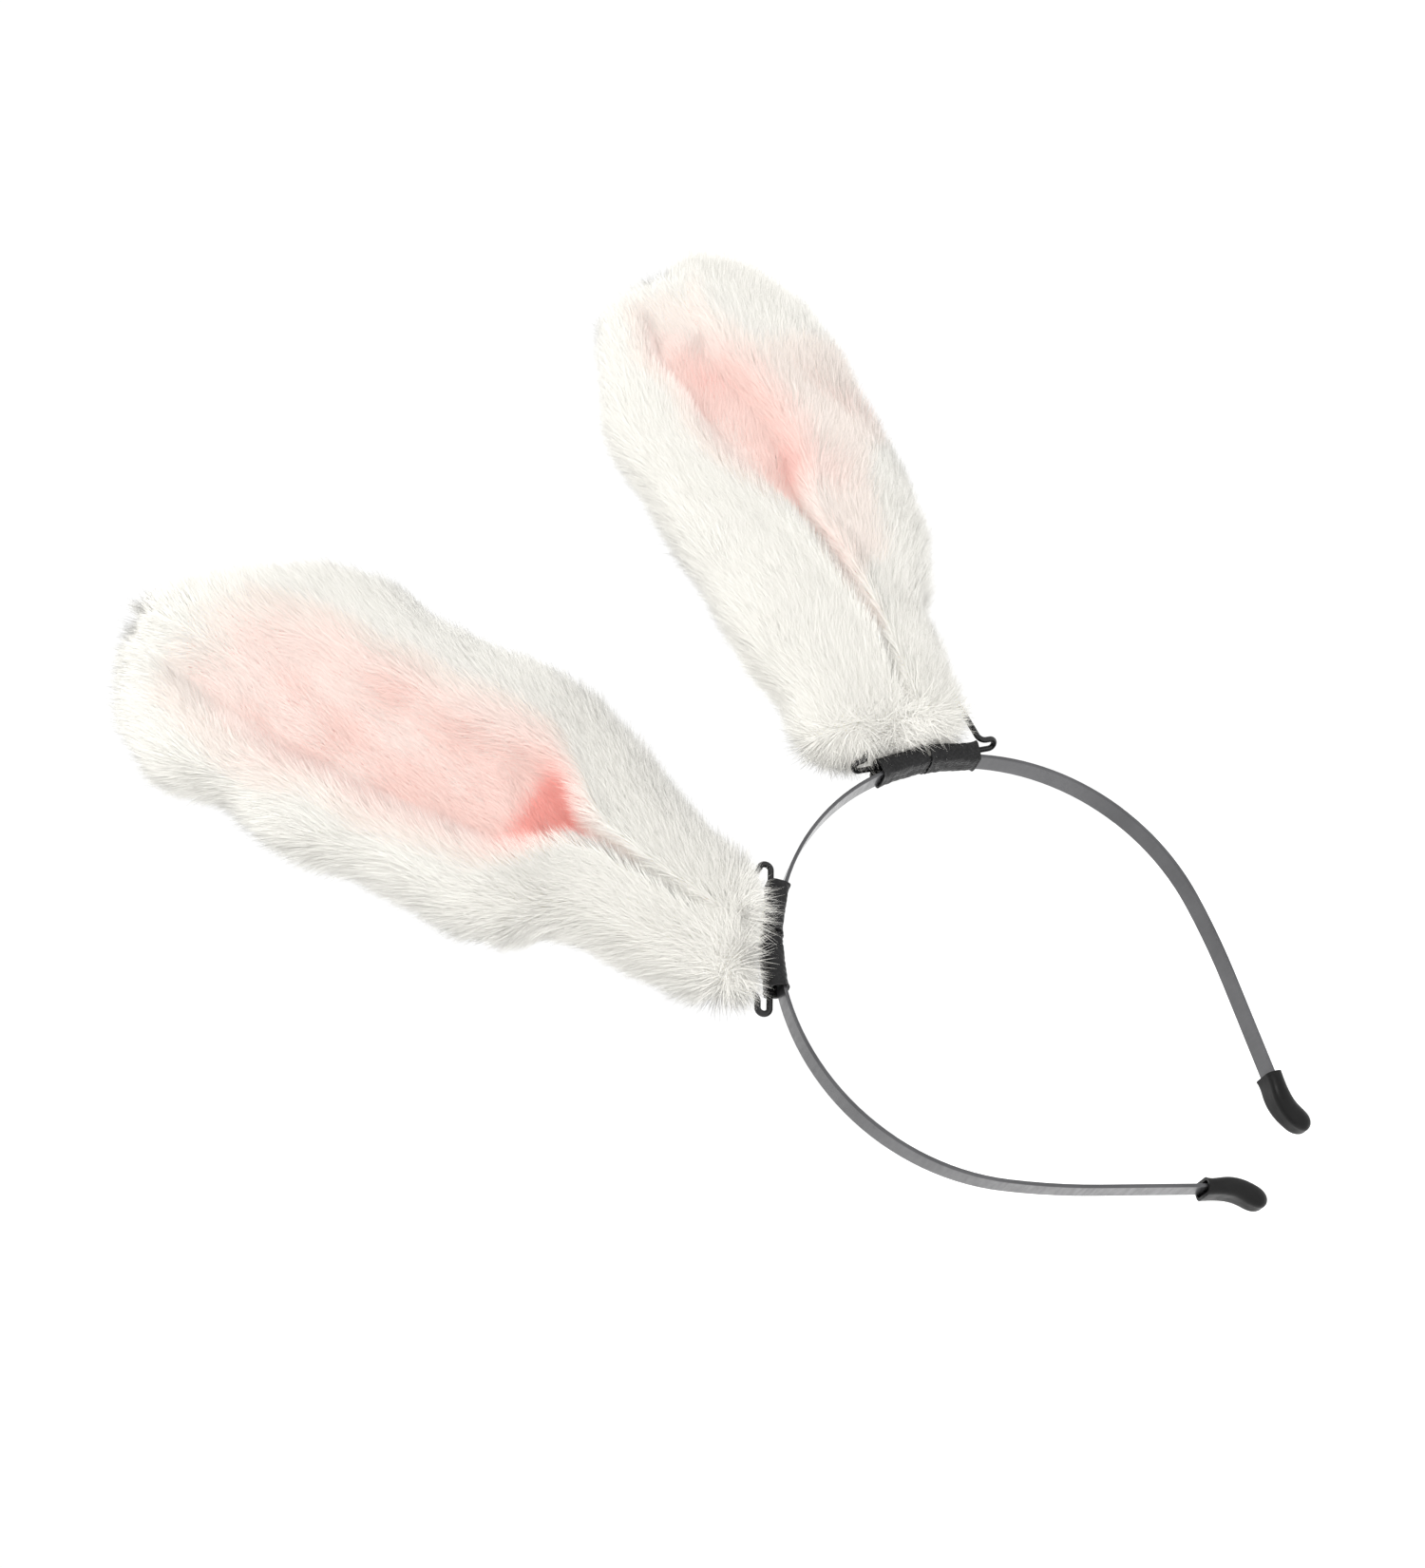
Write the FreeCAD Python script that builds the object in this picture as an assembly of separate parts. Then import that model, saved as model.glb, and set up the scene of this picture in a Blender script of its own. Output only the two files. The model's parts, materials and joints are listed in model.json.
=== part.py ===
"""Animal-ears headband: a sprung steel band with rubber end caps, carrying two long plush rabbit ears.

Each ear is a plush shell and a softer lining over one bent wire. The wire's two ends turn back in small
eyes and run as pins through a pair of wrapped sleeves, which grip the band. So an ear slides along the
crown with its sleeves, tilts about the pins, and bends half way up, where the wire is posed by hand.

Millimetres. +Z is up as worn, -Y is the wearer's front, +X is to the right as seen from the front.
The origin is on the band's inner face at the top of the crown, where the head carries it.
"""

import FreeCAD, Part
import math
import os

from FreeCAD import Placement, Rotation, Vector

os.makedirs("parts", exist_ok=True)

X_AXIS, Y_AXIS, Z_AXIS = Vector(1, 0, 0), Vector(0, 1, 0), Vector(0, 0, 1)

# Band: a flat strip bent to an arch. Radii are those of its middle surface.
band_width = 7.0
band_thickness = 1.0
band_edge_round = 0.3
crown_radius = 61.5
crown_half_angle = 122.0
arm_radius = 190.0
arm_sweep = 7.4
arm_straight = 34.0

# Rubber end caps, which start before the strip's end and turn outwards.
cap_grip = 5.5
cap_width = 9.2
cap_height = 4.6
cap_bend_radius = 12.0
cap_bend = 32.0
cap_lip = 0.7
# Width, height and corner radius of the opening at the cap's rim, and of the seat where the strip enters.
cap_rim = (cap_width - 2 * cap_lip, cap_height - 2 * cap_lip, 1.2)
cap_seat = (band_width + 0.1, 1.6, 0.5)
cap_seat_depth = 3.5
# Distance from the cap's mouth, width, height and corner radius of each section.
cap_sections = (
    (0.0, cap_width, cap_height, 2.0),
    (4.5, cap_width, cap_height, 2.2),
    (8.5, cap_width - 0.3, cap_height + 0.6, 2.5),
    (12.5, cap_width - 0.8, cap_height + 1.0, 2.75),
    (15.0, cap_width - 1.6, cap_height + 0.4, 2.4),
    (16.5, cap_width - 3.6, cap_height - 1.2, 1.6),
    (17.2, cap_width - 6.2, cap_height - 3.5, 0.5),
)

# Sleeves: two to an ear, straight, one each side of the ear's middle.
sleeve_length = 14.4
sleeve_gap = 1.0
sleeve_width = 8.8
sleeve_wall = 0.7
sleeve_corner = 1.4
band_clearance = 0.2

# Wire frame of an ear, with the pin ends that turn in the sleeves.
wire_radius = 0.85
wire_channel = 0.05
pin_clearance = 0.08
pin_height = band_thickness / 2 + band_clearance + wire_radius
pin_start = 1.0
eye_reach = 21.5
eye_height = 3.2
eye_return = 17.0
eye_shoulder = 2.2
shaft_share = 0.4
outline_share = 0.45

# How each ear stands, in degrees: its place round the crown from the top, the lean of its long axis back
# towards the top from the crown's normal, its tilt to the front, and the turn of its eyes to the front.
ear_stance = {
    "right": (38.0, 9.5, 2.5, 62.0),
    "left": (34.0, 22.0, 3.5, 0.0),
}

# The ear, in its own frame: x across, y through (+y is the back), z along from the pins.
ear_length = 184.0
bend_height = 88.0
bend_forward = 60.0
bend_backward = 20.0
bend_margin = 4.0
bend_gap = 0.6
base_clearance = 5.9
recess_floor = 4.0
recess_half_depth = 16.8
lining_front = -3.0
thread_radius = 0.28
thread_gap = 0.03
stitch_count = 5
stitch_pitch = 4.2
stitch_reach = 32.0
# Half size of the blocks that divide an ear.
block_reach = 300.0

# Outer shape of the ear, pile included: share of the length, half width, half thickness.
ear_sections = (
    (0.04, 21.0, 11.5),
    (0.13, 27.5, 14.0),
    (0.24, 31.5, 15.5),
    (0.36, 38.0, 16.0),
    (0.50, 40.5, 15.5),
    (0.64, 41.5, 14.5),
    (0.77, 39.5, 13.5),
    (0.88, 32.5, 12.0),
    (0.95, 23.0, 10.0),
    (1.00, 8.0, 5.0),
)
# The hollow in the front of the ear: share of the length, half width, share of the floor's depth.
recess_sections = (
    (0.15, 3.0, 0.45),
    (0.34, 10.0, 0.85),
    (0.46, 19.5, 1.0),
    (0.62, 24.0, 1.0),
    (0.78, 21.0, 1.0),
    (0.90, 8.0, 0.6),
)
# Half of the wire's outline from the base to the tip: height along the ear, distance from its middle.
wire_outline = (
    (34.0, 17.5),
    (62.0, 27.0),
    (88.0, 31.0),
    (118.0, 32.5),
    (144.0, 28.5),
    (164.0, 17.0),
    (171.0, 0.0),
)

crown_centre = Vector(0, 0, band_thickness / 2 - crown_radius)


def export(name, *solids):
    shape = solids[0] if len(solids) == 1 else Part.makeCompound(list(solids))
    shape.exportStep("parts/" + name + ".step")


def mirrored(shape):
    """The same piece on the -X side."""
    return shape.mirror(Vector(0, 0, 0), X_AXIS)


def placed(shape, placement):
    moved = shape.copy()
    moved.Placement = placement.multiply(moved.Placement)
    return moved


def turn(axis, degrees):
    return Placement(Vector(0, 0, 0), Rotation(axis, degrees))


# Band


def arm_end(offset):
    """Point and outward direction at the end of the +X arm, on the face at this offset from the middle."""
    first = math.radians(crown_half_angle)
    second = math.radians(crown_half_angle + arm_sweep)
    out_first = Vector(math.sin(first), 0, math.cos(first))
    out_second = Vector(math.sin(second), 0, math.cos(second))
    arm_centre = crown_centre + out_first * (crown_radius - arm_radius)
    along = Vector(math.cos(second), 0, -math.sin(second))
    start = arm_centre + out_second * (arm_radius + offset)
    return arm_centre, start, start + along * arm_straight, along, out_second


def arc(centre, radius, low, high):
    """An arc in the XZ plane, with its angles measured from +Z towards +X, in degrees."""
    points = []
    for degrees in (low, (low + high) / 2, high):
        a = math.radians(degrees)
        points.append(centre + Vector(math.sin(a), 0, math.cos(a)) * radius)
    return Part.Arc(*points).toShape()


def half_edge(offset):
    """The face at this offset from the band's middle, from the crown's top to the end of the +X arm."""
    arm_centre, start, end, along, out = arm_end(offset)
    return [
        arc(crown_centre, crown_radius + offset, 0, crown_half_angle),
        arc(arm_centre, arm_radius + offset, crown_half_angle, crown_half_angle + arm_sweep),
        Part.LineSegment(start, end).toShape(),
    ]


def band_strip():
    half = band_thickness / 2
    outer, inner = half_edge(half), half_edge(-half)
    mid = band_width / 2
    ends = []
    for offset in (half, -half):
        ends.append(arm_end(offset)[2])
    outline = []
    for edges in (outer, inner):
        outline += edges + [mirrored(e) for e in edges]
    outline.append(Part.LineSegment(ends[0], ends[1]).toShape())
    flip = [Vector(-p.x, p.y, p.z) for p in ends]
    outline.append(Part.LineSegment(flip[0], flip[1]).toShape())
    face = Part.Face(Part.Wire(Part.__sortEdges__(outline)))
    strip = face.extrude(Vector(0, band_width, 0))
    strip.translate(Vector(0, -mid, 0))
    side_edges = [e for e in strip.Edges if abs(abs(e.CenterOfMass.y) - mid) < 1e-3]
    long_edges = [e for e in side_edges if e.Length > 2 * band_thickness]
    return strip.makeFillet(band_edge_round, long_edges)


# End caps


def rounded_rectangle(width, height, corner, placement):
    """A closed wire in the placement's XY plane, width along Y and height along X."""
    w, h, r = width / 2, height / 2, corner
    k = r * (1 - math.sqrt(0.5))
    corners = ((1, 1), (-1, 1), (-1, -1), (1, -1))
    edges = []
    for i, (sx, sy) in enumerate(corners):
        along_x = Vector(sx * (h - r), sy * w, 0)
        along_y = Vector(sx * h, sy * (w - r), 0)
        middle = Vector(sx * (h - k), sy * (w - k), 0)
        first, last = (along_y, along_x) if i % 2 == 0 else (along_x, along_y)
        edges.append(Part.Arc(first, middle, last).toShape())
        nx, ny = corners[(i + 1) % 4]
        following = Vector(nx * (h - r), ny * w, 0) if i % 2 == 0 else Vector(nx * h, ny * (w - r), 0)
        if (last - following).Length > 1e-6:
            edges.append(Part.LineSegment(last, following).toShape())
    wire = Part.Wire(edges)
    wire.Placement = placement
    return wire


def cap_frame(distance):
    """Placement along the cap's bent centreline: local Z runs along the cap, local X points outwards."""
    arm_centre, start, end, along, out = arm_end(0)
    past = distance - cap_grip
    bend = min(max(past, 0.0) / cap_bend_radius, math.radians(cap_bend))
    beyond = past - bend * cap_bend_radius
    heading = along * math.cos(bend) + out * math.sin(bend)
    centre = end + out * cap_bend_radius
    point = centre - (out * math.cos(bend) - along * math.sin(bend)) * cap_bend_radius + heading * beyond
    outwards = out * math.cos(bend) - along * math.sin(bend)
    return Placement(point, Rotation(outwards, heading.cross(outwards), heading, "ZXY"))


def end_cap():
    sections = [rounded_rectangle(w, h, r, cap_frame(d)) for d, w, h, r in cap_sections]
    solid = Part.makeLoft(sections, True, False)
    rim = rounded_rectangle(*cap_rim, cap_frame(-cap_lip))
    seat = rounded_rectangle(*cap_seat, cap_frame(cap_seat_depth))
    return solid.cut(Part.makeLoft([rim, seat], True, True)).cut(band_strip())


# Ear frames, for an ear on the +X side


def pin_frame(angle):
    """Frame of the ear's pins: x along them and away from the crown's top, z outwards."""
    a = math.radians(angle)
    origin = crown_centre + Vector(math.sin(a), 0, math.cos(a)) * (crown_radius + pin_height)
    return Placement(origin, Rotation(Y_AXIS, angle))


def ear_frame(stance):
    angle, lean, tilt, eye_turn = stance
    return pin_frame(angle).multiply(turn(X_AXIS, tilt)).multiply(turn(Y_AXIS, -lean))


# Sleeves


def band_slot():
    """The curved space round the band that a sleeve keeps clear."""
    width = band_width + 2 * band_clearance
    half = band_thickness / 2 + band_clearance
    corner = Vector(0, -width / 2, 0)
    ring = Part.makeCylinder(crown_radius + half, width, corner, Y_AXIS)
    ring = ring.cut(Part.makeCylinder(crown_radius - half, width, corner, Y_AXIS))
    ring.translate(crown_centre)
    return ring


def sleeve(stance, side):
    """One wrapped sleeve: side is 1 for the one away from the crown's top, and -1 for the one near it."""
    middle = (sleeve_gap + sleeve_length) / 2
    own_angle = math.degrees(middle / crown_radius)
    sag = crown_radius * (1 - math.cos(math.radians(own_angle)))
    low = -(band_thickness / 2 + band_clearance + sleeve_wall + sag / 2)
    rise = math.sin(math.radians(own_angle)) * sleeve_length / 2
    high = pin_height + wire_radius + sleeve_wall + rise - sag / 2
    angle = stance[0] + side * own_angle
    a = math.radians(angle)
    seat = crown_centre + Vector(math.sin(a), 0, math.cos(a)) * crown_radius
    section = Placement(Vector(-sleeve_length / 2, 0, (high + low) / 2), Rotation(Y_AXIS, 90))
    outline = rounded_rectangle(sleeve_width, high - low, sleeve_corner, section)
    body = Part.Face(outline).extrude(Vector(sleeve_length, 0, 0))
    body = placed(body, Placement(seat, Rotation(Y_AXIS, angle)))
    reach = sleeve_gap + sleeve_length * 2
    tunnel = Part.makeCylinder(wire_radius + pin_clearance, 2 * reach, Vector(-reach, 0, 0), X_AXIS)
    return body.cut(band_slot()).cut(placed(tunnel, pin_frame(stance[0])))


# Wire


def rounded_wire(points, radii):
    """A path of straight runs joined by tangent arcs, one radius for each inner point."""
    edges, last = [], points[0]
    for before, corner, after, radius in zip(points, points[1:], points[2:], radii):
        to_back = (before - corner).normalize()
        to_next = (after - corner).normalize()
        half = to_back.getAngle(to_next) / 2
        reach = radius / math.tan(half)
        inwards = (to_back + to_next).normalize()
        top = corner + inwards * (radius / math.sin(half) - radius)
        first, second = corner + to_back * reach, corner + to_next * reach
        if (first - last).Length > 1e-6:
            edges.append(Part.LineSegment(last, first).toShape())
        edges.append(Part.Arc(first, top, second).toShape())
        last = second
    edges.append(Part.LineSegment(last, points[-1]).toShape())
    return Part.Wire(edges)


def gentle_radii(points, share):
    """Radii that take up this share of each corner's shorter run."""
    radii = []
    for before, corner, after in zip(points, points[1:], points[2:]):
        shorter = min((before - corner).Length, (after - corner).Length)
        turning = math.pi - (before - corner).getAngle(after - corner)
        radii.append(share * shorter / math.tan(turning / 2))
    return radii


def tube(path, radius):
    start = path.Edges[0]
    at = start.valueAt(start.FirstParameter)
    heading = start.tangentAt(start.FirstParameter)
    profile = Part.Wire(Part.makeCircle(radius, at, heading))
    return path.makePipeShell([profile], True, True)


def wire_side(lean, eye_turn, side):
    """Points of one lower side of the wire in the pins' tilted frame, from the pin's end to the bend."""
    along_ear = turn(Y_AXIS, -lean)
    across_eye = turn(X_AXIS, eye_turn).multVec(Vector(0, 0, eye_height))
    points = [
        Vector(side * pin_start, 0, 0),
        Vector(side * eye_reach, 0, 0),
        Vector(side * eye_reach, 0, 0) + across_eye,
        Vector(side * eye_return, 0, 0) + across_eye,
    ]
    for height, half in wire_outline:
        if height < bend_height:
            points.append(along_ear.multVec(Vector(side * half, 0, height)))
    end_half = dict(wire_outline)[bend_height]
    points.append(along_ear.multVec(Vector(side * end_half, 0, bend_height - bend_gap)))
    return points


def wire_lower(stance, radius):
    """Both lower sides of the wire, each with its pin and its eye."""
    angle, lean, tilt, eye_turn = stance
    tilted = pin_frame(angle).multiply(turn(X_AXIS, tilt))
    eye_radius = eye_height / 2 - 0.01
    sides = []
    for side in (-1, 1):
        points = wire_side(lean, eye_turn, side)
        radii = [eye_radius, eye_radius, eye_shoulder] + gentle_radii(points[3:], shaft_share)
        sides.append(placed(tube(rounded_wire(points, radii), radius), tilted))
    return sides


def wire_upper(stance, radius):
    """The wire's round end above the bend."""
    upper = [(h, w) for h, w in wire_outline if h > bend_height]
    upper.insert(0, (bend_height + bend_gap, dict(wire_outline)[bend_height]))
    points = [Vector(-w, 0, h) for h, w in upper] + [Vector(w, 0, h) for h, w in reversed(upper[:-1])]
    path = rounded_wire(points, gentle_radii(points, outline_share))
    return placed(tube(path, radius), ear_frame(stance))


# Plush


def ellipse(height, half_width, half_depth, y):
    """A section across the ear."""
    if half_width >= half_depth:
        curve = Part.Ellipse(Vector(0, y, height), half_width, half_depth)
        return Part.Wire(curve.toShape())
    curve = Part.Ellipse(Vector(0, 0, 0), half_depth, half_width)
    wire = Part.Wire(curve.toShape())
    wire.Placement = Placement(Vector(0, y, height), Rotation(Z_AXIS, 90))
    return wire


def ear_body(lean):
    """The whole ear. Its lowest section lies along the pins, and the others lie across the ear."""
    sections = [ellipse(share * ear_length, a, b, 0) for share, a, b in ear_sections]
    sections[0].Placement = turn(Y_AXIS, lean).multiply(sections[0].Placement)
    return Part.makeLoft(sections, True, False)


def ear_hollow():
    """The space that the cupped front leaves, down to the lining's back."""
    sections = []
    for share, half_width, depth in recess_sections:
        middle = depth * recess_floor - recess_half_depth
        sections.append(ellipse(share * ear_length, half_width, recess_half_depth, middle))
    return Part.makeLoft(sections, True, False)


def bend_side(upper):
    """A block that holds one side of the bend, with room for the ear to fold forward and back."""
    far = block_reach
    forward = math.radians(bend_forward / 2 + bend_margin)
    backward = math.radians(bend_backward / 2 + bend_margin)
    sign = 1 if upper else -1
    points = [
        Vector(-far, -far, bend_height + sign * (bend_gap + far * math.tan(forward))),
        Vector(-far, 0, bend_height + sign * bend_gap),
        Vector(-far, far, bend_height + sign * (bend_gap + far * math.tan(backward))),
        Vector(-far, far, sign * 3 * far),
        Vector(-far, -far, sign * 3 * far),
    ]
    face = Part.Face(Part.makePolygon(points + points[:1]))
    return face.extrude(Vector(2 * far, 0, 0))


def plush_and_lining(stance):
    """The back shell's and the lining's lower and upper halves, with the wire's channel left open."""
    far = block_reach
    to_ear = ear_frame(stance)
    hollow = ear_hollow()
    behind = Part.makeBox(2 * far, far, 2 * far, Vector(-far, lining_front, -far))
    pins = Part.makeCylinder(base_clearance, 2 * far, Vector(-far, 0, 0), X_AXIS)
    pins = placed(pins, pin_frame(stance[0]))
    channel_radius = wire_radius + wire_channel
    channel = wire_lower(stance, channel_radius) + [wire_upper(stance, channel_radius)]
    pieces = {}
    for name, whole in (("plush", ear_body(stance[1]).cut(hollow)), ("lining", hollow.common(behind))):
        for label, upper in (("lower", False), ("upper", True)):
            half = placed(whole.common(bend_side(upper)), to_ear).cut(pins)
            for way in channel:
                half = half.cut(way)
            pieces[name + "_" + label] = half.Solids
    return pieces


def base_stitches(stance):
    """Whip stitches that close the bottom of the ear, front to back, just below the plush."""
    angle, lean, tilt, eye_turn = stance
    to_pins = pin_frame(angle).multiply(turn(X_AXIS, tilt))
    radius = base_clearance - thread_radius - thread_gap
    reach = math.radians(stitch_reach)
    stitches = []
    for step in range(stitch_count):
        x = (step - (stitch_count - 1) / 2) * stitch_pitch
        ends = [Vector(x, s * radius * math.sin(reach), radius * math.cos(reach)) for s in (-1, 1)]
        path = Part.Wire(Part.Arc(ends[0], Vector(x, 0, radius), ends[1]).toShape())
        stitches.append(placed(tube(path, thread_radius), to_pins))
    return stitches


# All of it

export("band_strip", band_strip())
cap = end_cap()
export("right_end_cap", cap)
export("left_end_cap", mirrored(cap))

for side_name, stance in ear_stance.items():
    ear = {
        "sleeve_outer": [sleeve(stance, 1)],
        "sleeve_inner": [sleeve(stance, -1)],
        "wire_lower": wire_lower(stance, wire_radius),
        "wire_upper": [wire_upper(stance, wire_radius)],
        "base_stitches": base_stitches(stance),
    }
    ear.update(plush_and_lining(stance))
    for piece, solids in ear.items():
        if side_name == "left":
            solids = [mirrored(s) for s in solids]
        export(side_name + "_" + piece, *solids)
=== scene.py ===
import json
import math

import bmesh
import bpy
import numpy as np
from mathutils import Matrix, Vector, kdtree

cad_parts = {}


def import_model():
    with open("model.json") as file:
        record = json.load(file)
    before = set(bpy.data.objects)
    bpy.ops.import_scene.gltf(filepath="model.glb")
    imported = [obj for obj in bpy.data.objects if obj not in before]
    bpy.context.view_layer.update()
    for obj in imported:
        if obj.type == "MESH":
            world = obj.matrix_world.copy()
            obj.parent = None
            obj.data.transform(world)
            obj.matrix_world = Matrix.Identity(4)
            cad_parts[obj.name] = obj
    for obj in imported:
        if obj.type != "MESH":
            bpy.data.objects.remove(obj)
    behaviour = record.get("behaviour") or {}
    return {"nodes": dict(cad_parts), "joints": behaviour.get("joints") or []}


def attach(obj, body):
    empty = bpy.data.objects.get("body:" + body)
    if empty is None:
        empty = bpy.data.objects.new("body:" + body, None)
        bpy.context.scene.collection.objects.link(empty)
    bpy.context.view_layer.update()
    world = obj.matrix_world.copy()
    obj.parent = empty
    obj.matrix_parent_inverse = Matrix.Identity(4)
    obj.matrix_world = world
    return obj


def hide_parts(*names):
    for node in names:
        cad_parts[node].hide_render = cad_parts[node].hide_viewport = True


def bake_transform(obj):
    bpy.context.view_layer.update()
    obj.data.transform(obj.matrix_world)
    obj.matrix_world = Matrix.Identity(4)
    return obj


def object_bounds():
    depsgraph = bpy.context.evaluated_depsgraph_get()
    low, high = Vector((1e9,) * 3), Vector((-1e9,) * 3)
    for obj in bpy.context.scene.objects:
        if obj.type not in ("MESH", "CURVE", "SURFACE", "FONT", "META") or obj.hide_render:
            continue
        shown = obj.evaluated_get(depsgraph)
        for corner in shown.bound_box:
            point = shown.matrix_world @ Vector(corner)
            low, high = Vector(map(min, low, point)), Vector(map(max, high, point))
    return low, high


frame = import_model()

MM = 0.001
cad_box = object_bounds()
joints = {joint["name"]: joint for joint in frame["joints"]}

# Camera: where it stands, in millimetres, and how it is turned. The picture is rolled on its side.
camera_place = (-274.5, -461.4, -50.3)
camera_azimuth = -30.04
camera_elevation = -8.53
camera_roll = -54.1
camera_lens = 45.6

# Ears, in millimetres. Along the ear, places are shares of its length from the pins to the tip.
ear_length = {"right": 177.0, "left": 183.0}
ear_seed = {"right": 31, "left": 47}
ear_start = 0.03
base_round = 0.045
tip_round = 0.03
skin_depth = 3.6
rings = 190
ring_points = 260

# How square a section is in width and in depth, how square the base is, and how flat the tip's end is.
# Rings gather towards the tip, and a ring's points gather in the front, where the folds are.
width_power = 0.92
depth_power = 0.82
base_power = 0.35
tip_flatness = 0.97
tip_gather = 1.35
front_gather = 0.25

# Relief of the skin, in millimetres: the hollow's floor, its lip and rolled edge, and the back.
floor_lumps = 0.4
floor_ripples = 0.3
lip_height = 0.8
edge_roll = 0.9
back_lumps = 0.7
outline_wander = 0.022

# Pile: hairs on each ear and in each piece, how they clump, and their sizes in millimetres.
strands_per_ear = 230000
strands_per_piece = 60000
strands_per_clump = 14
clumping = 0.26
clump_reach = (4.0, 1.5)
strand_width = 0.22
pile_length = 8.4
inner_pile_length = 4.6
long_hair_extra = 1.5
length_spread = 0.16

# The hairs' angle from the skin and how it varies, in radians, and the way they lie: it drifts in waves,
# turns outwards at the tip and at the base, and turns down at the base's middle and corners.
pile_lift = 0.62
lift_limits = (0.1, 1.3)
lift_waves = 0.14
lift_scatter = 0.12
pile_curl = 0.3
lie_waves = 0.30
pile_scatter = 0.3
tip_spread = 0.5
base_spread = 0.8
corner_droop = 1.6
hang_width = 13

# Glow stands in for light scattered inside the pile, and each deeper shade has a little more.
normal_scatter = 0.12
pink_scatter = 0.04
pile_glow = 0.12
pile_glow_step = 0.005

# Half widths on the side near the crown's top (inner) and the far side (outer), a sideways bow of the tip
# (outwards is positive), then the hollow in the front: its middle, half width and depth.
shapes = {
    "right": {
        "inner": ((0.0, 25), (0.05, 32.5), (0.145, 31.5), (0.25, 34.3), (0.33, 35.2), (0.40, 35),
                  (0.46, 35.6), (0.57, 36.8), (0.72, 39.6), (0.83, 35), (0.90, 31.5), (0.95, 24), (1.0, 6)),
        "outer": ((0.0, 13), (0.06, 17), (0.145, 19.5), (0.21, 20.5), (0.27, 26.5), (0.335, 31.5),
                  (0.40, 35.5), (0.50, 41), (0.61, 39.3), (0.73, 41.5), (0.83, 39.5), (0.90, 31),
                  (0.95, 21), (1.0, 5)),
        "bow": ((0.0, 0), (0.78, 0), (0.90, 3.5), (1.0, 11)),
        "middle": ((0.10, 0), (0.21, 1), (0.31, 0), (0.40, -2), (0.47, -3), (0.57, -3.5), (0.64, -4.5),
                   (0.72, -6.5), (0.79, -9.5), (0.88, -7), (0.95, -2)),
        "half": ((0.10, 2.2), (0.30, 3.2), (0.44, 5), (0.52, 9), (0.58, 12), (0.65, 13), (0.76, 12.5),
                 (0.86, 11), (0.93, 8), (0.97, 3)),
        "depth": ((0.06, 0), (0.12, 2), (0.24, 3), (0.40, 3.8), (0.52, 5.5), (0.70, 5), (0.84, 3.5),
                  (0.92, 1), (0.97, 0)),
    },
    "left": {
        "inner": ((0.0, 11), (0.05, 15), (0.14, 18.2), (0.26, 28.5), (0.38, 38.7), (0.45, 40.7),
                  (0.61, 38.8), (0.73, 43), (0.80, 40.5), (0.90, 27.5), (0.96, 16), (1.0, 5)),
        "outer": ((0.0, 19), (0.05, 23), (0.11, 25.3), (0.20, 25.5), (0.27, 28), (0.33, 36.5), (0.39, 39),
                  (0.53, 39), (0.66, 42), (0.75, 37), (0.84, 39.5), (0.90, 34.5), (0.96, 21), (1.0, 4)),
        "bow": ((0.0, 0), (0.85, 0), (1.0, -1)),
        "middle": ((0.10, 6), (0.20, 5), (0.28, 3.5), (0.34, 3), (0.40, 4), (0.50, 5), (0.65, 6),
                   (0.80, 5.5), (0.92, 4)),
        "half": ((0.10, 2.2), (0.25, 3), (0.30, 5), (0.35, 12), (0.41, 17), (0.55, 18.5), (0.68, 18.5),
                 (0.80, 18), (0.90, 13), (0.96, 5)),
        "depth": ((0.07, 0), (0.12, 2.5), (0.24, 4.5), (0.33, 8.5), (0.45, 8.5), (0.70, 7), (0.85, 4.5),
                  (0.93, 1.5), (0.98, 0)),
    },
}
half_thickness = ((0.0, 7.5), (0.05, 11.5), (0.13, 14), (0.24, 15.5), (0.36, 16), (0.50, 15.5),
                  (0.64, 14.5), (0.77, 13.5), (0.88, 12), (0.95, 9.5), (1.0, 6.5))

# Sleeves, in millimetres: how far their middles stand from the ear's, and the folded strip of each, with
# its lapped edge at an angle round the sleeve, its beaded ends, pinched middle and small creases.
crown_radius = 61.5
sleeve_middle = 7.7
wrap_rings = 72
wrap_points = 120
wrap_wall = 0.6
wrap_lap = 0.4
lap_angle = math.radians(70)
lap_slant = 0.22
lap_far = (2.6, 1.4)
bead_height = 0.25
bead_width = 0.06
waist = 0.15
crease_height = 0.05
swell_height = 0.08
end_wander = 0.12
wrap_side_power = 0.42
wrap_top_power = 0.55
girth_radius = 3.6

# Light: what the room gives, what the camera sees behind the object, the floor's glow, and two lamps.
world_strength = 1.16
backdrop_strength = 1.05
floor_glow = 0.35
key_power = 7
rim_power = 4


# Colour and shader helpers


def tint(red, green, blue):
    """A shader colour from the 0 to 255 values it should show as."""
    made = []
    for value in (red, green, blue):
        v = value / 255
        made.append(v / 12.92 if v <= 0.04045 else ((v + 0.055) / 1.055) ** 2.4)
    return (*made, 1.0)


def new_material(name, colour, roughness, **sockets):
    material = bpy.data.materials.new(name)
    material.use_nodes = True
    shader = material.node_tree.nodes["Principled BSDF"]
    shader.inputs["Base Color"].default_value = colour
    shader.inputs["Roughness"].default_value = roughness
    for socket, value in sockets.items():
        shader.inputs[socket.replace("_", " ")].default_value = value
    return material


def node(material, kind, **settings):
    made = material.node_tree.nodes.new(kind)
    for key, value in settings.items():
        if key in made.inputs:
            made.inputs[key].default_value = value
        else:
            setattr(made, key, value)
    return made


def link(material, source, target):
    material.node_tree.links.new(source, target)


def position(material):
    return node(material, "ShaderNodeTexCoord").outputs["Object"]


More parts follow.
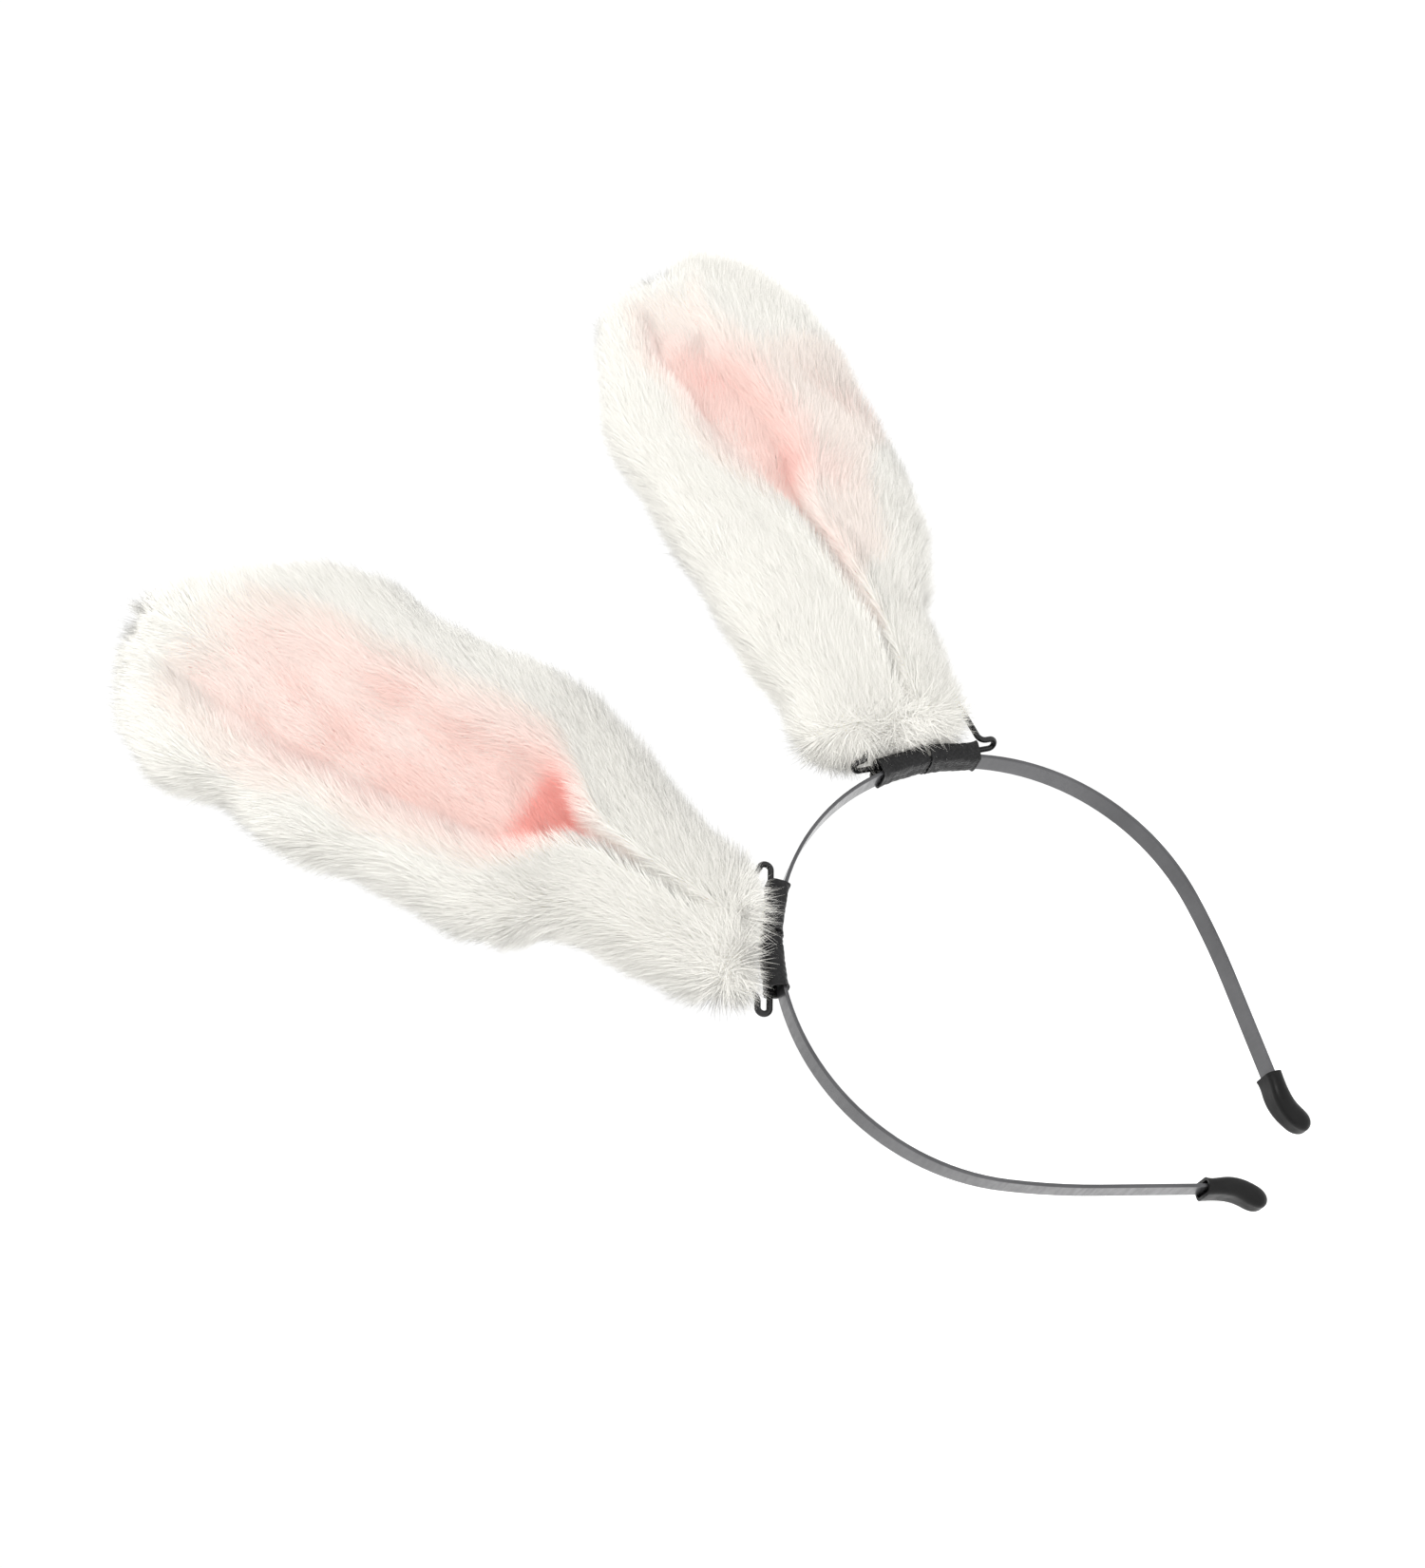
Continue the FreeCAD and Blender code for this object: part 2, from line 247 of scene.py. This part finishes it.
def noise(material, scale, detail=4.0, stretch=(1, 1, 1)):
    mapping = node(material, "ShaderNodeMapping")
    mapping.inputs["Scale"].default_value = stretch
    link(material, position(material), mapping.inputs["Vector"])
    made = node(material, "ShaderNodeTexNoise", Scale=scale, Detail=detail)
    link(material, mapping.outputs["Vector"], made.inputs["Vector"])
    return made.outputs["Fac"]


def ramp(material, factor, low, high, at=(0.3, 0.7)):
    made = node(material, "ShaderNodeValToRGB")
    made.color_ramp.elements[0].position, made.color_ramp.elements[1].position = at
    made.color_ramp.elements[0].color, made.color_ramp.elements[1].color = low, high
    link(material, factor, made.inputs["Fac"])
    return made.outputs["Color"]


def bump(material, height, strength, distance):
    made = node(material, "ShaderNodeBump", Strength=strength, Distance=distance)
    link(material, height, made.inputs["Height"])
    shader = material.node_tree.nodes["Principled BSDF"]
    link(material, made.outputs["Normal"], shader.inputs["Normal"])


def vary(material, factor, low, high, socket, at=(0.3, 0.7)):
    shader = material.node_tree.nodes["Principled BSDF"]
    grey = socket != "Base Color"
    ends = [(v, v, v, 1.0) if grey else v for v in (low, high)]
    link(material, ramp(material, factor, *ends, at=at), shader.inputs[socket])


# Hard materials


def enamel():
    """Black enamel on spring steel, worn a little satin."""
    m = new_material("black_enamel", tint(52, 52, 54), 0.34, Metallic=0.75, Coat_Weight=0.35)
    vary(m, noise(m, 900, stretch=(1, 0.2, 1)), 0.28, 0.44, "Roughness")
    vary(m, noise(m, 60), tint(70, 70, 72), tint(86, 86, 88), "Base Color")
    bump(m, noise(m, 2500, 2.0), 0.12, 0.00005)
    return m


def rubber():
    m = new_material("black_rubber", tint(8, 8, 8), 0.3, Specular_IOR_Level=0.2)
    vary(m, noise(m, 350), 0.28, 0.5, "Roughness")
    vary(m, noise(m, 120), tint(7, 7, 7), tint(18, 18, 18), "Base Color")
    bump(m, noise(m, 1400, 3.0), 0.25, 0.00012)
    return m


def leatherette():
    m = new_material("black_leatherette", tint(24, 24, 25), 0.45, Specular_IOR_Level=0.25)
    cells = node(m, "ShaderNodeTexVoronoi", Scale=1500)
    link(m, position(m), cells.inputs["Vector"])
    vary(m, cells.outputs["Distance"], tint(32, 32, 33), tint(14, 14, 15), "Base Color", at=(0.1, 0.6))
    vary(m, noise(m, 500), 0.34, 0.62, "Roughness")
    bump(m, cells.outputs["Distance"], 0.7, 0.0002)
    return m


def coated_wire():
    m = new_material("coated_wire", tint(18, 18, 19), 0.26, Specular_IOR_Level=0.3, Coat_Weight=0.1)
    vary(m, noise(m, 800), tint(14, 14, 15), tint(30, 30, 31), "Base Color")
    bump(m, noise(m, 900, 2.0), 0.2, 0.0001)
    return m


def thread():
    m = new_material("white_thread", tint(236, 232, 222), 0.8, Sheen_Weight=0.2)
    twist = node(m, "ShaderNodeTexWave", Scale=900, Distortion=1.0)
    twist.bands_direction = "DIAGONAL"
    link(m, position(m), twist.inputs["Vector"])
    vary(m, twist.outputs["Fac"], tint(214, 208, 196), tint(244, 241, 233), "Base Color")
    bump(m, twist.outputs["Fac"], 0.6, 0.0002)
    return m


def knit_backing(name, low, high):
    """The knitted ground that the pile grows from."""
    m = new_material(name, high, 0.9, Sheen_Weight=0.3)
    fine = noise(m, 1200, 3.0)
    vary(m, fine, low, high, "Base Color")
    bump(m, fine, 0.6, 0.0006)
    return m


# Ears


def smooth_through(points):
    """A smooth function through the points, which never overshoots them."""
    x, y = np.array(points, float).T
    step, rise = np.diff(x), np.diff(y)
    slope = rise / step
    knots = np.zeros(len(x))
    same = slope[:-1] * slope[1:] > 0
    harmonic = 2 * slope[:-1] * slope[1:] / np.where(same, slope[:-1] + slope[1:], 1)
    knots[1:-1] = np.where(same, harmonic, 0)
    knots[0], knots[-1] = slope[0], slope[-1]

    def at(value):
        v = np.clip(value, x[0], x[-1])
        i = np.clip(np.searchsorted(x, v) - 1, 0, len(step) - 1)
        s = (v - x[i]) / step[i]
        return (
            y[i] * (1 + 2 * s) * (1 - s) ** 2
            + y[i + 1] * s * s * (3 - 2 * s)
            + knots[i] * step[i] * s * (1 - s) ** 2
            - knots[i + 1] * step[i] * s * s * (1 - s)
        )

    return at


def fade(low, high, value):
    """0 at low and 1 at high, smooth between them, whichever is larger."""
    s = np.clip((value - low) / (high - low), 0, 1)
    return s * s * (3 - 2 * s)


def hump(value, middle, width):
    """1 at the middle, falling away smoothly on both sides."""
    return np.exp(-(((value - middle) / width) ** 2))


def waves(rng, count, shortest, longest):
    """A gentle seeded height field over a plane, about -1 to 1."""
    lengths = rng.uniform(shortest, longest, count)
    headings = rng.uniform(0, 2 * math.pi, count)
    phases = rng.uniform(0, 2 * math.pi, count)

    def at(x, z):
        total = 0
        for length, heading, phase in zip(lengths, headings, phases):
            along = x * math.cos(heading) + z * math.sin(heading)
            total = total + np.sin(2 * math.pi * along / length + phase)
        return total / math.sqrt(count)

    return at


class Ear:
    """One ear's skin, in its own frame: x outwards, y to the back, z to the tip, in millimetres."""

    def __init__(self, side):
        self.side = side
        self.sign = 1 if side == "right" else -1
        self.rng = np.random.default_rng(ear_seed[side])
        self.length = ear_length[side]
        self.form = {key: smooth_through(points) for key, points in shapes[side].items()}
        self.thick = smooth_through(half_thickness)
        tilt, bend = joints[side + "_ear_tilt"], joints[side + "_ear_bend"]
        self.origin = np.array(tilt["pos_m"], float) / MM
        hinge = np.array(bend["pos_m"], float) / MM
        self.bend_height = np.linalg.norm(hinge - self.origin)
        self.up = (hinge - self.origin) / self.bend_height
        self.out = np.array(bend["axis"], float) * self.sign
        self.back = np.cross(self.up, self.out) * self.sign
        self.pins = np.array(tilt["axis"], float) * self.sign
        self.drift = waves(self.rng, 6, 22, 60)
        self.ruffle = waves(self.rng, 6, 14, 40)
        self.make_skin()

    def to_row(self, points):
        x, y, z = points[..., 0:1], points[..., 1:2], points[..., 2:3]
        return self.origin + x * self.out + y * self.back + z * self.up

    def directions(self, vectors):
        x, y, z = vectors[..., 0:1], vectors[..., 1:2], vectors[..., 2:3]
        return x * self.out + y * self.back + z * self.up

    def hollow_place(self, share, x):
        return (x - self.form["middle"](share)) / self.form["half"](share)

    def make_skin(self):
        share = ear_start + (1 - ear_start) * (1 - (1 - np.linspace(0, 1, rings)) ** tip_gather)
        share = share[:, None]
        turn = np.linspace(0, 2 * math.pi, ring_points, endpoint=False)[None, :]
        turn = turn + front_gather * np.sin(2 * turn) * (np.sin(turn) < 0)
        across, through = np.cos(turn), np.sin(turn)
        x, y = self.tube(share, across, through)
        z = np.broadcast_to(share * self.length, x.shape)
        front = fade(0.0, 0.45, -through)
        place = self.hollow_place(share, x)

        lumps = waves(self.rng, 7, 28, 60)
        fine = waves(self.rng, 9, 9, 20)
        floor = fade(1.2, 0.5, np.abs(place))
        y = y + front * (self.form["depth"](share) + floor_lumps * lumps(x, z) * floor) * floor
        lip = hump(np.abs(place), 1.35, 0.4) * front * fade(0.1, 0.3, share) * fade(1.0, 0.85, share)
        y = y - lip_height * lip
        edge = hump(np.abs(place), 1.0, 0.3) * front * fade(0.2, 0.4, share) * fade(0.95, 0.8, share)
        x = x - np.sign(place) * edge_roll * edge
        y = y + front * floor * (floor_ripples * fine(x, z) + self.folds(share, place))
        # The outline wanders, and the back has lumps that die out before the tip.
        x = x * (1 + outline_wander * lumps(40 * np.sign(across), z) * fade(0.05, 0.2, share))
        y = y + back_lumps * lumps(z, x) * (1 - front) * fade(1.0, 0.92, share)
        settle = fade(0.17, ear_start, share) * self.pins_slant()
        x, z = x * np.cos(settle), z + x * np.sin(settle)

        grid = np.stack([x, y, z], -1)
        self.local = grid.reshape(-1, 3)
        self.share = np.broadcast_to(share, x.shape).ravel()
        self.front = np.broadcast_to(front, x.shape).ravel()
        self.place = place.ravel()
        self.normals = vertex_normals(self.local, quads_of_grid())
        outward = (grid - grid.mean(axis=1, keepdims=True)).reshape(-1, 3)
        if np.mean(np.sum(self.normals * outward, axis=1) > 0) < 0.5:
            self.normals = -self.normals

    def tube(self, share, across, through):
        """The plain ear without its hollow: gathered shut at the base, rounded at the tip."""
        closing = (1 - fade(ear_start + base_round, ear_start, share) ** 2) ** base_power
        near_tip = (share - (1 - tip_round)).clip(0) / tip_round
        closing = closing * np.sqrt(1 - tip_flatness * near_tip ** 2)
        half = np.where(across < 0, self.form["inner"](share), self.form["outer"](share))
        half = (half - skin_depth) * closing
        thick = (self.thick(share) - skin_depth) * closing
        x = half * np.sign(across) * np.abs(across) ** width_power + self.form["bow"](share)
        y = thick * np.sign(through) * np.abs(through) ** depth_power
        return x, y

    def pins_slant(self):
        """The angle between the ear's cross direction and its pins: the lower end lies along the pins."""
        square_to_pins = np.cross(self.pins * self.sign, self.back)
        return math.atan2(self.up @ self.pins, self.up @ square_to_pins)

    def folds(self, share, place):
        """Two small folds across the hollow: the left ear's near its lower end, the right's further apart."""
        if self.side == "left":
            first = hump(share - 0.02 * place, 0.355, 0.012) * fade(-0.2, 0.4, place)
            second = hump(share + 0.05 * place, 0.41, 0.016) * fade(0.3, -0.4, place)
            return -1.4 * first - 0.8 * second
        first = hump(share - 0.04 * place, 0.82, 0.02)
        second = hump(share + 0.03 * place, 0.575, 0.016)
        return -0.8 * first - 1.0 * second

    def pinkness(self, share, place, front):
        """0 where the pile is white, 1 in the deepest pink. Deeper pink in the folds, the creases and the
        hollow's floor is painted shade over the lining's own pink.
        """
        facing = fade(0.2, 0.55, front)
        inside = fade(1.6, 0.85, np.abs(place)) * facing
        along = fade(0.12, 0.24, share) * fade(1.0, 0.74, share)
        if self.side == "left":
            plateau = (0.39 + 0.06 * fade(0.75, 0.4, share)) * fade(0.28, 0.36, share)
            # Deeper pink in the fold and in the crease near the base is painted shade, over the lining's own
            # pink.
            fold_shade = 0.5 * hump(share, 0.345, 0.045) * fade(1.5, 0.5, np.abs(place))
            crease_shade = 0.7 * fade(0.15, 0.30, share) * fade(0.40, 0.33, share)
            crease_shade = crease_shade * fade(1.5, 0.3, np.abs(place))
            return (plateau * along * inside + (fold_shade + crease_shade) * facing).clip(0, 1)
        plateau = (0.12 + 0.24 * fade(0.42, 0.54, share)) * inside
        # Deeper pink along the hollow's floor is painted shade.
        streak_shade = 0.16 * hump(share, 0.74, 0.07) * hump(place, -0.2, 0.6)
        pale = 0.2 * fade(-0.5, 0.9, place) * fade(6.0, 2.0, place) * fade(0.25, 0.36, share)
        pale = pale * fade(0.85, 0.6, share)
        # Deeper pink in the crease near the base is painted shade.
        crease_shade = 0.2 * fade(0.14, 0.22, share) * fade(0.56, 0.46, share) * hump(place, 0, 0.7)
        return (((plateau + pale) * along + streak_shade + crease_shade) * facing).clip(0, 1)


def quads_of_grid():
    i, j = np.meshgrid(np.arange(rings - 1), np.arange(ring_points), indexing="ij")
    k = (j + 1) % ring_points
    low, high = i * ring_points, (i + 1) * ring_points
    return np.stack([low + j, low + k, high + k, high + j], -1).reshape(-1, 4)


def build_mesh(name, vertices, loops, sizes, slots, materials, normals=None):
    """A smooth mesh object. Own normals, one for each vertex, make fine pile shade like the skin below."""
    me = bpy.data.meshes.new(name)
    me.vertices.add(len(vertices))
    me.vertices.foreach_set("co", np.ascontiguousarray(vertices, np.float32).ravel())
    me.loops.add(len(loops))
    me.loops.foreach_set("vertex_index", loops.astype(np.int32))
    me.polygons.add(len(sizes))
    starts = np.concatenate([[0], np.cumsum(sizes)[:-1]])
    me.polygons.foreach_set("loop_start", starts.astype(np.int32))
    me.polygons.foreach_set("material_index", slots.astype(np.int32))
    me.polygons.foreach_set("use_smooth", np.ones(len(sizes), bool))
    for m in materials:
        me.materials.append(m)
    me.update(calc_edges=True)
    if normals is not None:
        me.normals_split_custom_set_from_vertices(normals.astype(np.float32))
    made = bpy.data.objects.new(name, me)
    bpy.context.collection.objects.link(made)
    return made


def vertex_normals(points, quads):
    normals = np.zeros_like(points)
    a, b, c, d = (points[quads[:, n]] for n in range(4))
    face = np.cross(c - a, d - b)
    for n in range(4):
        np.add.at(normals, quads[:, n], face)
    return normals / np.maximum(np.linalg.norm(normals, axis=1, keepdims=True), 1e-9)


def unit(vectors):
    return vectors / np.maximum(np.linalg.norm(vectors, axis=-1, keepdims=True), 1e-9)


def crossing(piece):
    """Bakes a piece's placement into its mesh."""
    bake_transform(piece)


def skin_pieces(ear, quads, materials):
    """The shell's and the lining's ground cloth, which meet along the rolled edges."""
    inside = (np.abs(ear.place) < 1.15) & (ear.front > 0.5) & (ear.share > 0.1) & (ear.share < 0.95)
    lining = inside[quads].all(axis=1)
    row = ear.to_row(ear.local) * MM
    pieces = {}
    for name, chosen, material in (("shell", ~lining, materials[0]), ("lining", lining, materials[1])):
        used, new = np.unique(quads[chosen], return_inverse=True)
        faces = new.reshape(-1, 4)
        if ear.sign < 0:
            faces = faces[:, ::-1]
        pieces[name] = build_mesh(
            f"{ear.side}_{name}_cloth", row[used], faces.ravel(), np.full(len(faces), 4),
            np.zeros(len(faces)), [material],
        )
    return pieces


def close_ends(ear, piece):
    """The shell's cloth is gathered shut at both ends."""
    bm = bmesh.new()
    bm.from_mesh(piece.data)
    for at_end in (lambda share: share < 0.12, lambda share: share > 0.985):
        ring = []
        for edge in bm.edges:
            middle = (edge.verts[0].co + edge.verts[1].co) / 2
            height = (middle - Vector(ear.origin * MM)).dot(Vector(ear.up)) / MM
            if edge.is_boundary and at_end(height / ear.length):
                ring.append(edge)
        if ring:
            bmesh.ops.holes_fill(bm, edges=ring, sides=0)
    bmesh.ops.triangulate(bm, faces=[f for f in bm.faces if len(f.verts) > 4])
    bm.to_mesh(piece.data)
    bm.free()


def scatter(ear, quads, count):
    """Roots of strands, spread evenly: point, normal, share of the length, place in the hollow, frontness."""
    corners = ear.local[quads]
    area = np.linalg.norm(np.cross(corners[:, 2] - corners[:, 0], corners[:, 3] - corners[:, 1]), axis=1)
    chosen = quads[ear.rng.choice(len(quads), count, p=area / area.sum())]
    u, v = ear.rng.random((2, count, 1))
    weights = ((1 - u) * (1 - v), u * (1 - v), u * v, (1 - u) * v)
    fields = (ear.local, ear.normals, ear.share[:, None], ear.place[:, None], ear.front[:, None])
    root, normal, share, place, front = (
        sum(w * field[chosen[:, n]] for n, w in enumerate(weights)) for field in fields
    )
    return root, unit(normal), share[:, 0], place[:, 0], front[:, 0]


def growth(ear, roots, own):
    """Which way each hair leaves the skin, which way its tip points, and how long it is."""
    root, normal, share, place, front = roots
    x, y, z = root.T
    sideways = np.sign(x)
    swing = lie_waves * ear.drift(x + y, z) + pile_scatter * own[:, 0]
    # Some hairs hang over the sleeves' middle, and those at the base's corners droop over the wire.
    hang = fade(0.13, 0.03, share) * hump(x, 0, hang_width) * fade(-0.6, 1.2, own[:, 2])
    corner = fade(0.10, 0.04, share) * fade(10, 17, np.abs(x))
    spread = tip_spread * sideways * fade(0.75, 1.0, share)
    along = np.stack([np.sin(swing) + spread, 0 * x, np.cos(swing)], -1)
    along[:, 2] *= 1 - 2 * hang
    along[:, 0] += base_spread * sideways * fade(0.08, 0.03, share) * (1 - hang)
    along[:, 2] -= corner_droop * corner
    flow = unit(along - normal * np.sum(along * normal, axis=1)[:, None])
    inside = fade(1.3, 0.7, np.abs(place)) * fade(0.3, 0.6, front)
    lift = pile_lift - 0.1 * inside + lift_waves * ear.ruffle(z, x + y) + lift_scatter * own[:, 1]
    low, high = (np.clip(lift + curl, *lift_limits)[:, None] for curl in (-pile_curl, pile_curl))
    first = normal * np.sin(high) + flow * np.cos(high)
    last = normal * np.sin(low) + flow * np.cos(low)
    length = pile_length - (pile_length - inner_pile_length) * inside + long_hair_extra * (hang + corner)
    return first, last, (length * (1 + length_spread * own[:, 2]))[:, None]


def towards_clumps(ear, quads, root, tip):
    """Tips drawn part of the way to the tip of the nearest clump."""
    count = len(root) // strands_per_clump
    clumps = scatter(ear, quads, count)
    first, last, length = growth(ear, clumps, ear.rng.normal(size=(count, 3)).clip(-2, 2))
    clump_tip = clumps[0] + (first + last) * 0.5 * length
    tree = kdtree.KDTree(count)
    for index, point in enumerate(clumps[0]):
        tree.insert(point, index)
    tree.balance()
    nearest = np.array([tree.find(point)[1] for point in root])
    gap = np.linalg.norm(clumps[0][nearest] - root, axis=1)
    pull = clumping * ear.rng.random(len(root)) * fade(*clump_reach, gap)
    return tip + (clump_tip[nearest] - tip) * pull[:, None]


def pile_pieces(ear, quads, materials):
    """The pile: three-sided tapering hairs, as pieces small enough to handle."""
    count = strands_per_ear
    roots = scatter(ear, quads, count)
    root, normal, share, place, front = roots
    own = ear.rng.normal(size=(count, 3)).clip(-2, 2)
    first, last, length = growth(ear, roots, own)
    tip = towards_clumps(ear, quads, root, root + (first + last) * 0.5 * length)

    outwards = ear.directions(normal)
    foot, point = ear.to_row(root), ear.to_row(tip)
    way = unit(point - foot)
    side = unit(np.cross(way, outwards))
    other = np.cross(way, side)
    radius = strand_width / 2 * (0.7 + 0.6 * ear.rng.random((count, 1)))
    start = 2 * math.pi * ear.rng.random((count, 1))
    corners = []
    for step in range(3):
        angle = start + 2 * math.pi * step / 3
        corners.append(foot + radius * (np.cos(angle) * side + np.sin(angle) * other))
    hairs = np.stack([*corners, point], 1) * MM
    facing = unit(outwards + normal_scatter * ear.rng.normal(size=(count, 3)))

    pink = ear.pinkness(share, place, front)
    mottle = own[:, 2] + ear.ruffle(root[:, 2], root[:, 0])
    pink = pink + fade(0.0, 0.1, pink) * pink_scatter * mottle
    level = np.clip(np.rint(pink * (len(materials) - 1)), 0, len(materials) - 1).astype(int)
    faces = np.array([0, 1, 3, 1, 2, 3, 2, 0, 3])
    pieces = []
    order = np.argsort(share, kind="stable")
    for number, group in enumerate(np.array_split(order, math.ceil(count / strands_per_piece)), 1):
        n = len(group)
        loops = (faces[None, :] + 4 * np.arange(n)[:, None]).ravel()
        piece = build_mesh(
            f"{ear.side}_pile_{number}", hairs[group].reshape(-1, 3), loops, np.full(3 * n, 3),
            np.repeat(level[group], 3), materials, np.repeat(facing[group], 4, axis=0),
        )
        pieces.append(piece)
    return pieces


# Sleeves


def sleeve_axes(side, way):
    """Where a sleeve sits on the band: a point on the strip's middle, along the sleeve, out from the head."""
    sign = 1 if side == "right" else -1
    pins = np.array(joints[side + "_ear_tilt"]["axis"]) * sign
    hinge = np.array(joints[side + "_ear_tilt"]["pos_m"]) / MM
    centre = np.array(joints[side + "_ear_slide"]["pos_m"]) / MM
    out = unit(hinge - centre)
    angle = way * sleeve_middle / crown_radius
    own_out = out * math.cos(angle) + pins * math.sin(angle)
    own_along = pins * math.cos(angle) - out * math.sin(angle)
    return centre + own_out * crown_radius, own_along, own_out


def sleeve_wrap(side, place, way, material):
    """A strip of leatherette folded round the band and a pin, with its last edge lapped over the top."""
    name = f"{side}_sleeve_{place}"
    seat, along, out = sleeve_axes(side, way)
    axes = np.stack([along, (0.0, 1.0, 0.0), out])
    cad = np.array([v.co for v in frame["nodes"][name].data.vertices]) / MM
    cad = (cad - seat) @ axes.T
    low, high = cad.min(axis=0), cad.max(axis=0)
    middle, half = (low + high) / 2, (high - low) / 2
    rng = np.random.default_rng(len(name) * 7 + (3 if side == "left" else 5))
    creases, soft = waves(rng, 6, 1.1, 2.6), waves(rng, 4, 4, 9)

    turn = np.linspace(0, 2 * math.pi, wrap_points, endpoint=False)[None, :]
    outside = np.linspace(-1, 1, wrap_rings)
    inside = np.linspace(0.97, -0.97, wrap_rings // 4)
    x = np.concatenate([outside, inside])[:, None]
    wall = np.concatenate([0 * outside, 0 * inside - wrap_wall])[:, None]
    girth = turn * girth_radius
    x_mm = x * half[0] + end_wander * soft(girth, 0) * np.abs(x)
    edge = lap_angle + lap_slant * x
    lap = fade(edge - 0.05, edge + 0.03, turn) * fade(edge + lap_far[0], edge + lap_far[1], turn)
    swell = crease_height * creases(x_mm, girth * 0.35) + swell_height * soft(x_mm, girth)
    swell = swell + wrap_lap * lap + bead_height * hump(np.abs(x), 1, bead_width) - waist * (1 - x * x)
    swell = np.where(wall < 0, wall, swell)
    across, over = np.cos(turn), np.sin(turn)
    y = (half[1] + swell) * np.sign(across) * np.abs(across) ** wrap_side_power + middle[1]
    z = (half[2] + swell) * np.sign(over) * np.abs(over) ** wrap_top_power + middle[2]
    points = np.stack([x_mm + 0 * y, y, z], -1).reshape(-1, 3) @ axes + seat

    rows = len(x)
    i, j = np.meshgrid(np.arange(rows), np.arange(wrap_points), indexing="ij")
    down, right = (i + 1) % rows, (j + 1) % wrap_points
    faces = np.stack([i * wrap_points + j, i * wrap_points + right, down * wrap_points + right,
                      down * wrap_points + j], -1).reshape(-1, 4)
    if np.dot(np.cross(along, (0, 1, 0)), out) > 0:
        faces = faces[:, ::-1]
    wrap = build_mesh(f"{name}_wrap", points * MM, faces.ravel(), np.full(len(faces), 4),
                      np.zeros(len(faces)), [material])
    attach(wrap, side + "_sleeves")
    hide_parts(name)


def dress_nodes():
    finishes = {
        "band_strip": enamel(),
        "end_cap": rubber(),
        "wire": coated_wire(),
        "stitches": thread(),
    }
    for name, obj in frame["nodes"].items():
        for key, material in finishes.items():
            if key in name:
                obj.data.materials.clear()
                obj.data.materials.append(material)


dress_nodes()

white_cloth = knit_backing("white_ground", tint(244, 240, 229), tint(253, 251, 245))
pink_cloth = knit_backing("pink_ground", tint(253, 206, 197), tint(255, 224, 216))

pile_shades = [
    tint(252, 250, 243), tint(254, 243, 235), tint(255, 234, 226), tint(255, 222, 213),
    tint(255, 209, 200), tint(253, 191, 182), tint(248, 168, 158),
]
pile_materials = []
for number, shade in enumerate(pile_shades):
    pile_materials.append(
        new_material(f"pile_{number}", shade, 0.75, Sheen_Weight=0.35, Specular_IOR_Level=0.2,
                     Emission_Color=shade, Emission_Strength=pile_glow + pile_glow_step * number)
    )

leather = leatherette()
for side in ("right", "left"):
    sleeve_wrap(side, "outer", 1, leather)
    sleeve_wrap(side, "inner", -1, leather)

quads = quads_of_grid()
for side in ("right", "left"):
    ear = Ear(side)
    cloth = skin_pieces(ear, quads, (white_cloth, pink_cloth))
    close_ends(ear, cloth["shell"])
    crossing(cloth["shell"])
    crossing(cloth["lining"])
    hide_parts(side + "_plush_lower", side + "_plush_upper")
    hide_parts(side + "_lining_lower", side + "_lining_upper")
    for piece in pile_pieces(ear, quads, pile_materials):
        crossing(piece)


# Floor, light and camera


def floor():
    bpy.ops.mesh.primitive_plane_add(size=6, location=(0, 0, cad_box[0].z - 0.004))
    made = bpy.context.object
    made.name = "floor"
    m = new_material("floor_white", (0.8, 0.8, 0.8, 1), 0.9)
    shader = m.node_tree.nodes["Principled BSDF"]
    shader.inputs["Emission Color"].default_value = (1, 1, 1, 1)
    shader.inputs["Emission Strength"].default_value = floor_glow
    made.data.materials.append(m)


def area_light(name, place, size, power):
    data = bpy.data.lights.new(name, "AREA")
    data.shape, data.size, data.energy = "DISK", size, power
    made = bpy.data.objects.new(name, data)
    made.location = place
    aim = Vector((0, 0, 0)) - Vector(place)
    made.rotation_euler = aim.to_track_quat("-Z", "Y").to_euler()
    bpy.context.collection.objects.link(made)


def world():
    made = bpy.data.worlds.new("studio")
    made.use_nodes = True
    tree = made.node_tree
    back = tree.nodes["Background"]
    back.inputs["Color"].default_value = (1, 1, 1, 1)
    back.inputs["Strength"].default_value = world_strength
    seen = tree.nodes.new("ShaderNodeBackground")
    seen.inputs["Color"].default_value = (1, 1, 1, 1)
    seen.inputs["Strength"].default_value = backdrop_strength
    mix, path = tree.nodes.new("ShaderNodeMixShader"), tree.nodes.new("ShaderNodeLightPath")
    tree.links.new(path.outputs["Is Camera Ray"], mix.inputs["Fac"])
    tree.links.new(back.outputs["Background"], mix.inputs[1])
    tree.links.new(seen.outputs["Background"], mix.inputs[2])
    tree.links.new(mix.outputs["Shader"], tree.nodes["World Output"].inputs["Surface"])
    bpy.context.scene.world = made


def camera():
    data = bpy.data.cameras.new("camera")
    data.lens = camera_lens
    made = bpy.data.objects.new("camera", data)
    a, e = math.radians(camera_azimuth), math.radians(camera_elevation)
    back = Vector((math.sin(a) * math.cos(e), -math.cos(a) * math.cos(e), math.sin(e)))
    level = (-back).to_track_quat("-Z", "Y").to_matrix()
    made.matrix_world = (
        Matrix.Translation(Vector(camera_place) * MM)
        @ level.to_4x4()
        @ Matrix.Rotation(math.radians(camera_roll), 4, "Z")
    )
    bpy.context.collection.objects.link(made)
    bpy.context.scene.camera = made


floor()
world()
area_light("key", (-0.5, -0.9, 1.1), 0.7, key_power)
area_light("rim", (0.9, 0.5, 0.9), 0.6, rim_power)
camera()
bpy.context.scene.view_settings.view_transform = "Standard"
